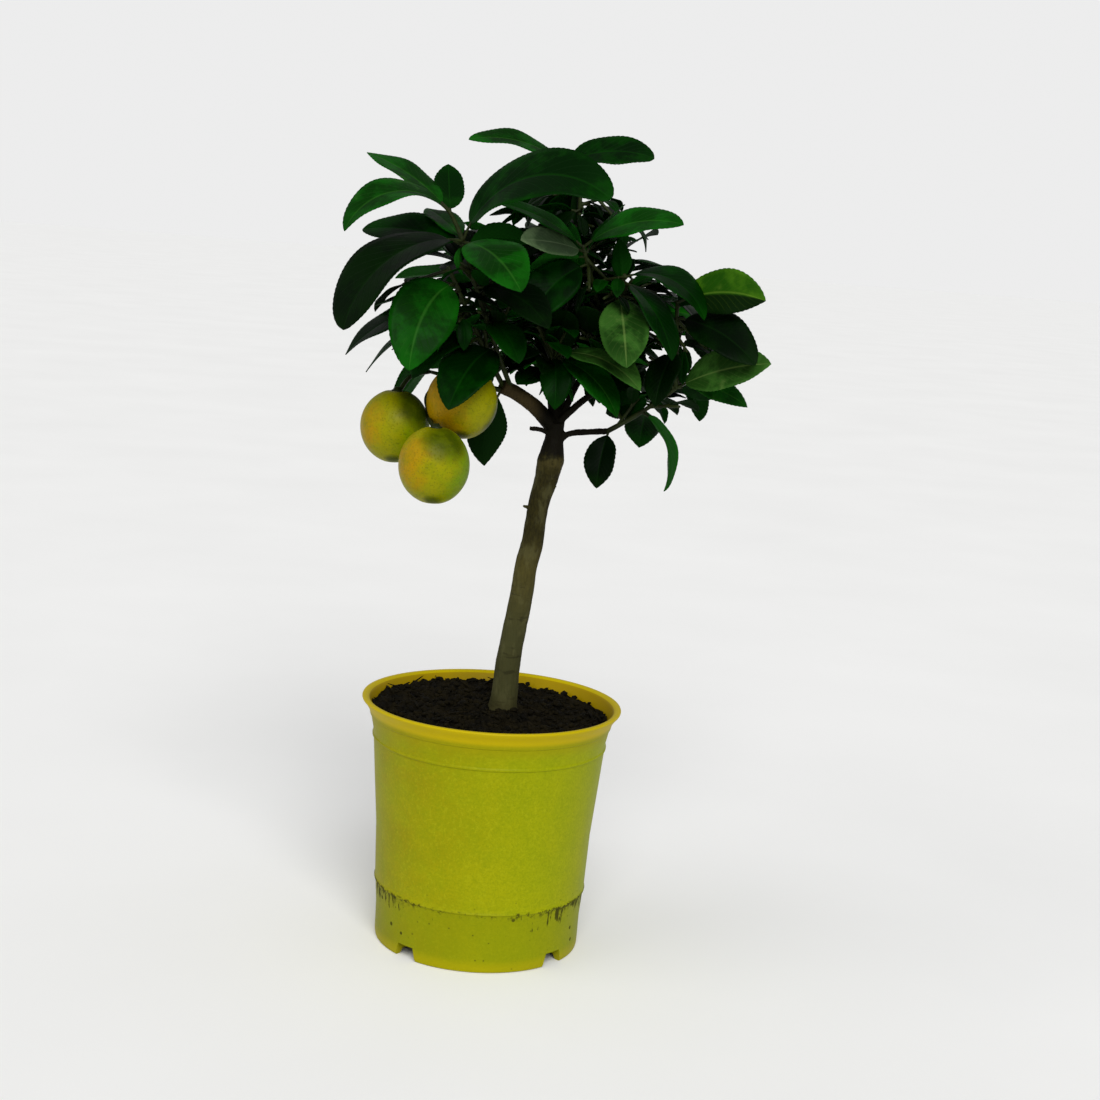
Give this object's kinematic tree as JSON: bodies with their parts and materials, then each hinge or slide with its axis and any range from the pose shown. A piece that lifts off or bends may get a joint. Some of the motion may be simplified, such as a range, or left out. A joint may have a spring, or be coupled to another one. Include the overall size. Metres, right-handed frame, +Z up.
{
  "type": "potted lemon tree",
  "caption": "Young citrus tree with a leaning trunk, open leafy top and hanging yellow-green fruit, growing in an olive plastic nursery pot.",
  "frame": {"origin": "centre of the pot's flat underside, on the pot's axis", "axes": "+Z up along the pot's axis, -Y towards the side the picture shows, +X to the right in the picture"},
  "size_m": [0.3093, 0.2808, 0.6212],
  "materials": {
    "pot": "satin",
    "soil": "matte",
    "bark": "matte",
    "leaves": "satin",
    "fruit": "satin"
  },
  "bodies": {
    "root": {"pot": "pot", "soil": "soil", "trunk": "bark", "left_bough": "bark", "centre_bough": "bark", "back_bough": "bark", "right_bough": "bark", "lower_right_bough": "bark", "pruned_stub": "bark", "fruit_truss": "fruit", "upper_left_foliage": "leaves", "left_foliage": "leaves", "top_foliage": "leaves", "upper_right_foliage": "leaves", "right_foliage": "leaves", "centre_foliage": "leaves", "back_left_foliage": "leaves", "back_right_foliage": "leaves", "back_top_foliage": "leaves"}
  },
  "joints": []
}
